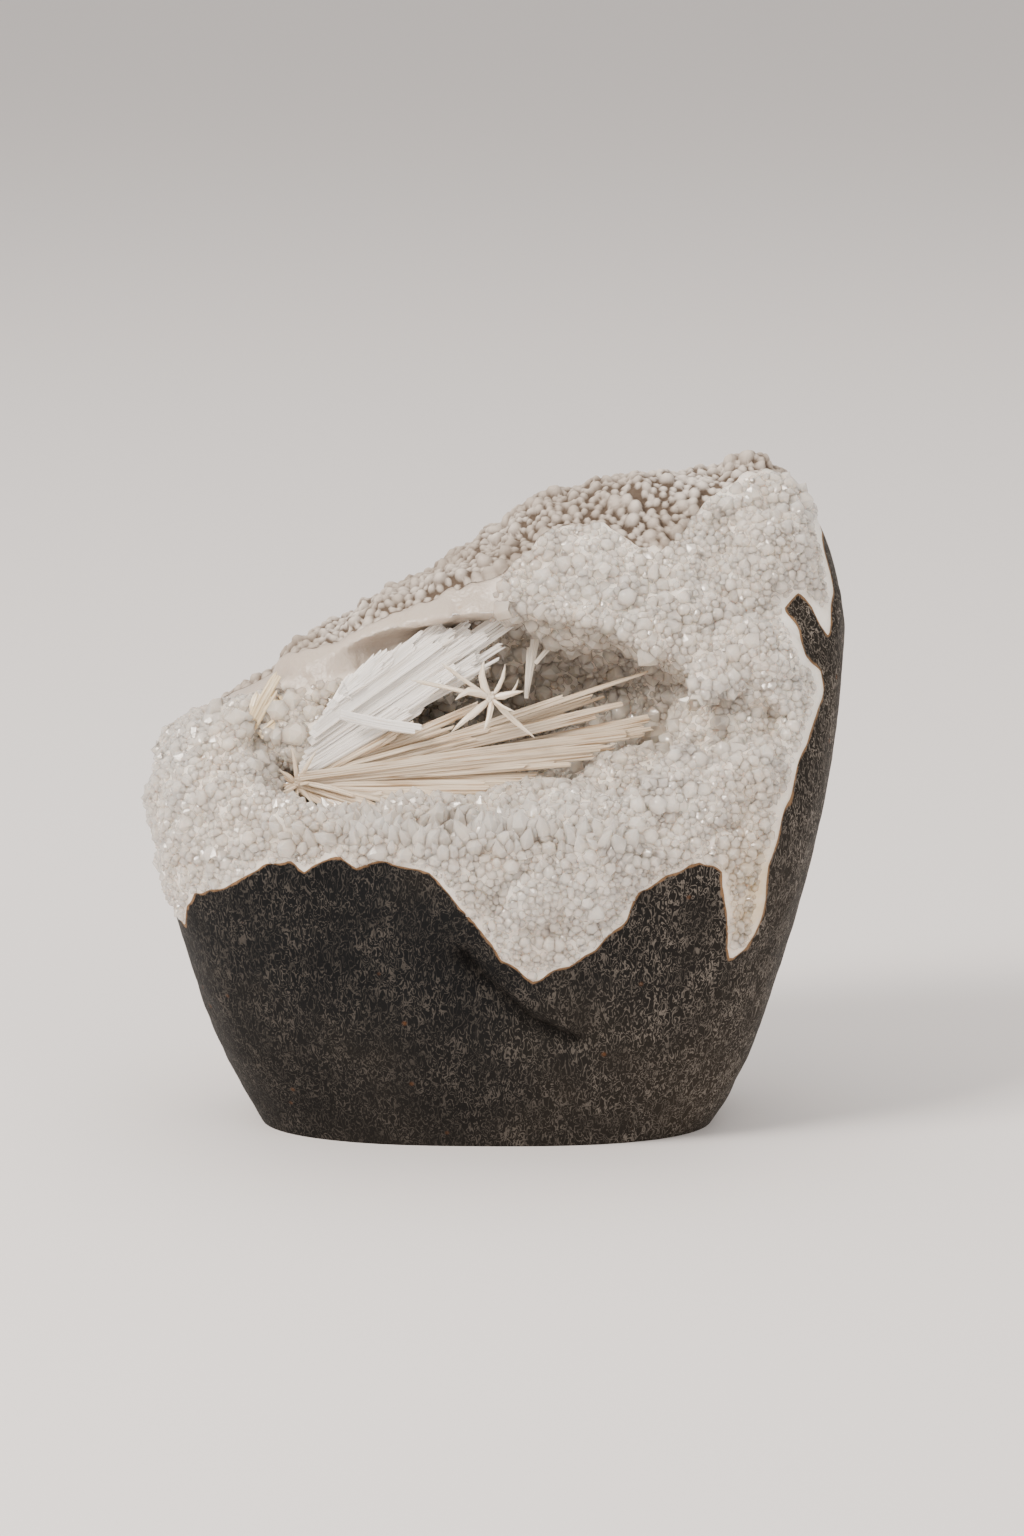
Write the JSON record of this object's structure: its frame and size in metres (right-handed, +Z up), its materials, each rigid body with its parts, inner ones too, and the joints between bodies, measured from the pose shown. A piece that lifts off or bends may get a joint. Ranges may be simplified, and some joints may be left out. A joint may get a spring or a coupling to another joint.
{
  "type": "scolecite mineral specimen",
  "caption": "Ground basalt stone with a flat base and a quartz-lined hollow in its upper front, in which sprays of white scolecite needles grow, under a nodular rind.",
  "frame": {"origin": "On the sawn flat base, at the middle of the stone's foot", "axes": "+Z up from the base, +X to the viewer's right, -Y towards the viewer, the side on which the hollow opens"},
  "size_m": [0.1336, 0.0818, 0.1254],
  "materials": {
    "basalt": "ground smooth, matt",
    "milky_quartz": "glassy, milky and translucent",
    "rind": "rough, nodular",
    "scolecite_main": "silky, translucent",
    "scolecite_star": "silky, translucent",
    "scolecite_upright": "silky, translucent",
    "scolecite_back": "silky, translucent"
  },
  "bodies": {
    "root": {"basalt_matrix": "basalt", "quartz_druse": "milky_quartz", "nodular_rind": "rind", "scolecite_main_spray": "scolecite_main", "scolecite_star": "scolecite_star", "scolecite_upright_needles": "scolecite_upright", "scolecite_back_cluster": "scolecite_back"}
  },
  "joints": []
}
